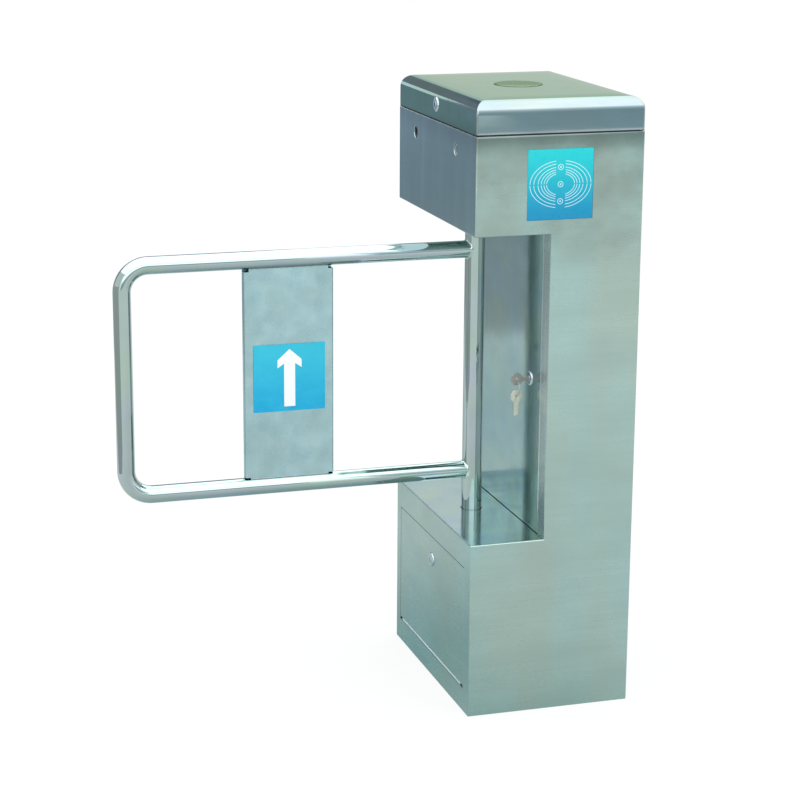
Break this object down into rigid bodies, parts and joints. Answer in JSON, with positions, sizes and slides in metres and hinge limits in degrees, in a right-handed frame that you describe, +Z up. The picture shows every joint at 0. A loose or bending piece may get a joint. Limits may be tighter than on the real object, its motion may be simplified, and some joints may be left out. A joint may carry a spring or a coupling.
{
  "type": "swing barrier gate",
  "caption": "Stainless steel pedestrian barrier: C-shaped cabinet with a card reader window, hinged lid and service door, and a swinging tube gate with an arrow sign.",
  "frame": {"origin": "on the floor, under the middle of the cabinet's footprint", "axes": "+X to the right along the front, away from the gate; +Y to the back; +Z up. The gate is closed and points along -X"},
  "size_m": [0.8206, 0.4, 1.0115],
  "materials": {
    "stainless_panel": "fine brushed stainless sheet",
    "polished_stainless": "polished stainless",
    "zinc_steel": "zinc plated",
    "lock_chrome": "polished plating",
    "key_brass": "plain stamped brass",
    "black_plastic": "moulded, matt",
    "grey_plastic": "moulded, matt",
    "black_rubber": "matt",
    "reader_blue": "gloss, back printed",
    "sign_blue": "satin film",
    "white_film": "satin film",
    "motor_paint": "semi-gloss paint"
  },
  "bodies": {
    "cabinet": {"base_plate": "zinc_steel", "front_panel": "stainless_panel", "rear_panel": "stainless_panel", "right_side_panel": "stainless_panel", "head_side_panel": "stainless_panel", "head_floor_panel": "stainless_panel", "notch_floor_panel": "polished_stainless", "notch_front_flange": "polished_stainless", "notch_rear_flange": "polished_stainless", "lower_side_frame": "stainless_panel", "lid_seal": "black_rubber", "lid_hinge_body_leaf": "zinc_steel", "lid_hinge_pin": "zinc_steel", "door_hinge_frame_leaf": "zinc_steel", "door_hinge_pin": "zinc_steel", "lid_catch": "zinc_steel", "door_catch": "zinc_steel", "reader_window": "reader_blue", "card_reader": "black_plastic", "sensor_front": "black_plastic", "sensor_rear": "black_plastic", "upper_bearing": "zinc_steel", "lower_bearing": "zinc_steel", "drive_bridge": "zinc_steel", "gearbox": "zinc_steel", "motor": "motor_paint", "stop_bracket": "zinc_steel", "photo_switch": "black_plastic", "mounting_rail": "zinc_steel", "power_supply": "zinc_steel", "controller": "grey_plastic", "cable_gland": "black_plastic"},
    "gate": {"post": "polished_stainless", "gate_tube": "polished_stainless", "sign_plate": "stainless_panel", "arrow_sign": "sign_blue", "sign_arrow": "white_film", "stop_arm": "zinc_steel", "stop_buffer": "black_rubber", "drive_gear": "zinc_steel", "limit_disc": "black_plastic"},
    "pinion": {"pinion": "zinc_steel"},
    "lid": {"top_lid": "stainless_panel", "lid_top_disc": "grey_plastic", "lid_hinge_lid_leaf": "zinc_steel", "lid_lock_housing": "lock_chrome"},
    "door": {"lower_door": "stainless_panel", "door_hinge_door_leaf": "zinc_steel", "door_lock_housing": "lock_chrome"},
    "cover": {"notch_cover": "polished_stainless", "cover_lock_housing": "lock_chrome"},
    "lid_lock_plug": {"lid_lock_plug": "lock_chrome", "lid_lock_cam": "zinc_steel"},
    "door_lock_plug": {"door_lock_plug": "lock_chrome", "door_lock_cam": "zinc_steel"},
    "cover_lock_plug": {"cover_lock_plug": "lock_chrome", "cover_lock_cam": "zinc_steel", "key": "key_brass"},
    "key_ring": {"key_ring": "zinc_steel", "spare_key": "key_brass"}
  },
  "joints": [
    {"name": "gate_swing", "type": "hinge", "parent": "cabinet", "child": "gate", "pos_m": [-0.07, 0, 0.552], "axis": [0, 0, 1], "range_deg": [-90, 90]},
    {"name": "pinion_spin", "type": "hinge", "parent": "cabinet", "child": "pinion", "pos_m": [-0.07, 0.064, 0.8279], "axis": [0, 0, 1], "range_deg": [-270, 270]},
    {"name": "lid_hinge", "type": "hinge", "parent": "cabinet", "child": "lid", "pos_m": [0.1432, 0, 0.95575], "axis": [0, 1, 0], "range_deg": [0, 95]},
    {"name": "door_hinge", "type": "hinge", "parent": "cabinet", "child": "door", "pos_m": [-0.1385, 0.003, 0.0415], "axis": [0, -1, 0], "range_deg": [0, 90]},
    {"name": "cover_draw", "type": "slide", "parent": "cabinet", "child": "cover", "axis": [-1, 0, 0], "range_m": [0, 0.03]},
    {"name": "lid_lock_turn", "type": "hinge", "parent": "lid", "child": "lid_lock_plug", "pos_m": [-0.14, 0, 0.981], "axis": [1, 0, 0], "range_deg": [0, 90]},
    {"name": "door_lock_turn", "type": "hinge", "parent": "door", "child": "door_lock_plug", "pos_m": [-0.14, 0, 0.207], "axis": [-1, 0, 0], "range_deg": [0, 90]},
    {"name": "cover_lock_turn", "type": "hinge", "parent": "cover", "child": "cover_lock_plug", "pos_m": [-0.014, -0.121, 0.5455], "axis": [-1, 0, 0], "range_deg": [0, 90]},
    {"name": "spare_key_swing", "type": "hinge", "parent": "cover_lock_plug", "child": "key_ring", "pos_m": [-0.0369, -0.121, 0.5436], "axis": [0, 1, 0], "range_deg": [-15, 15]}
  ],
  "couplings": [
    {"joint": "pinion_spin", "follows": "gate_swing", "ratio": -3}
  ]
}
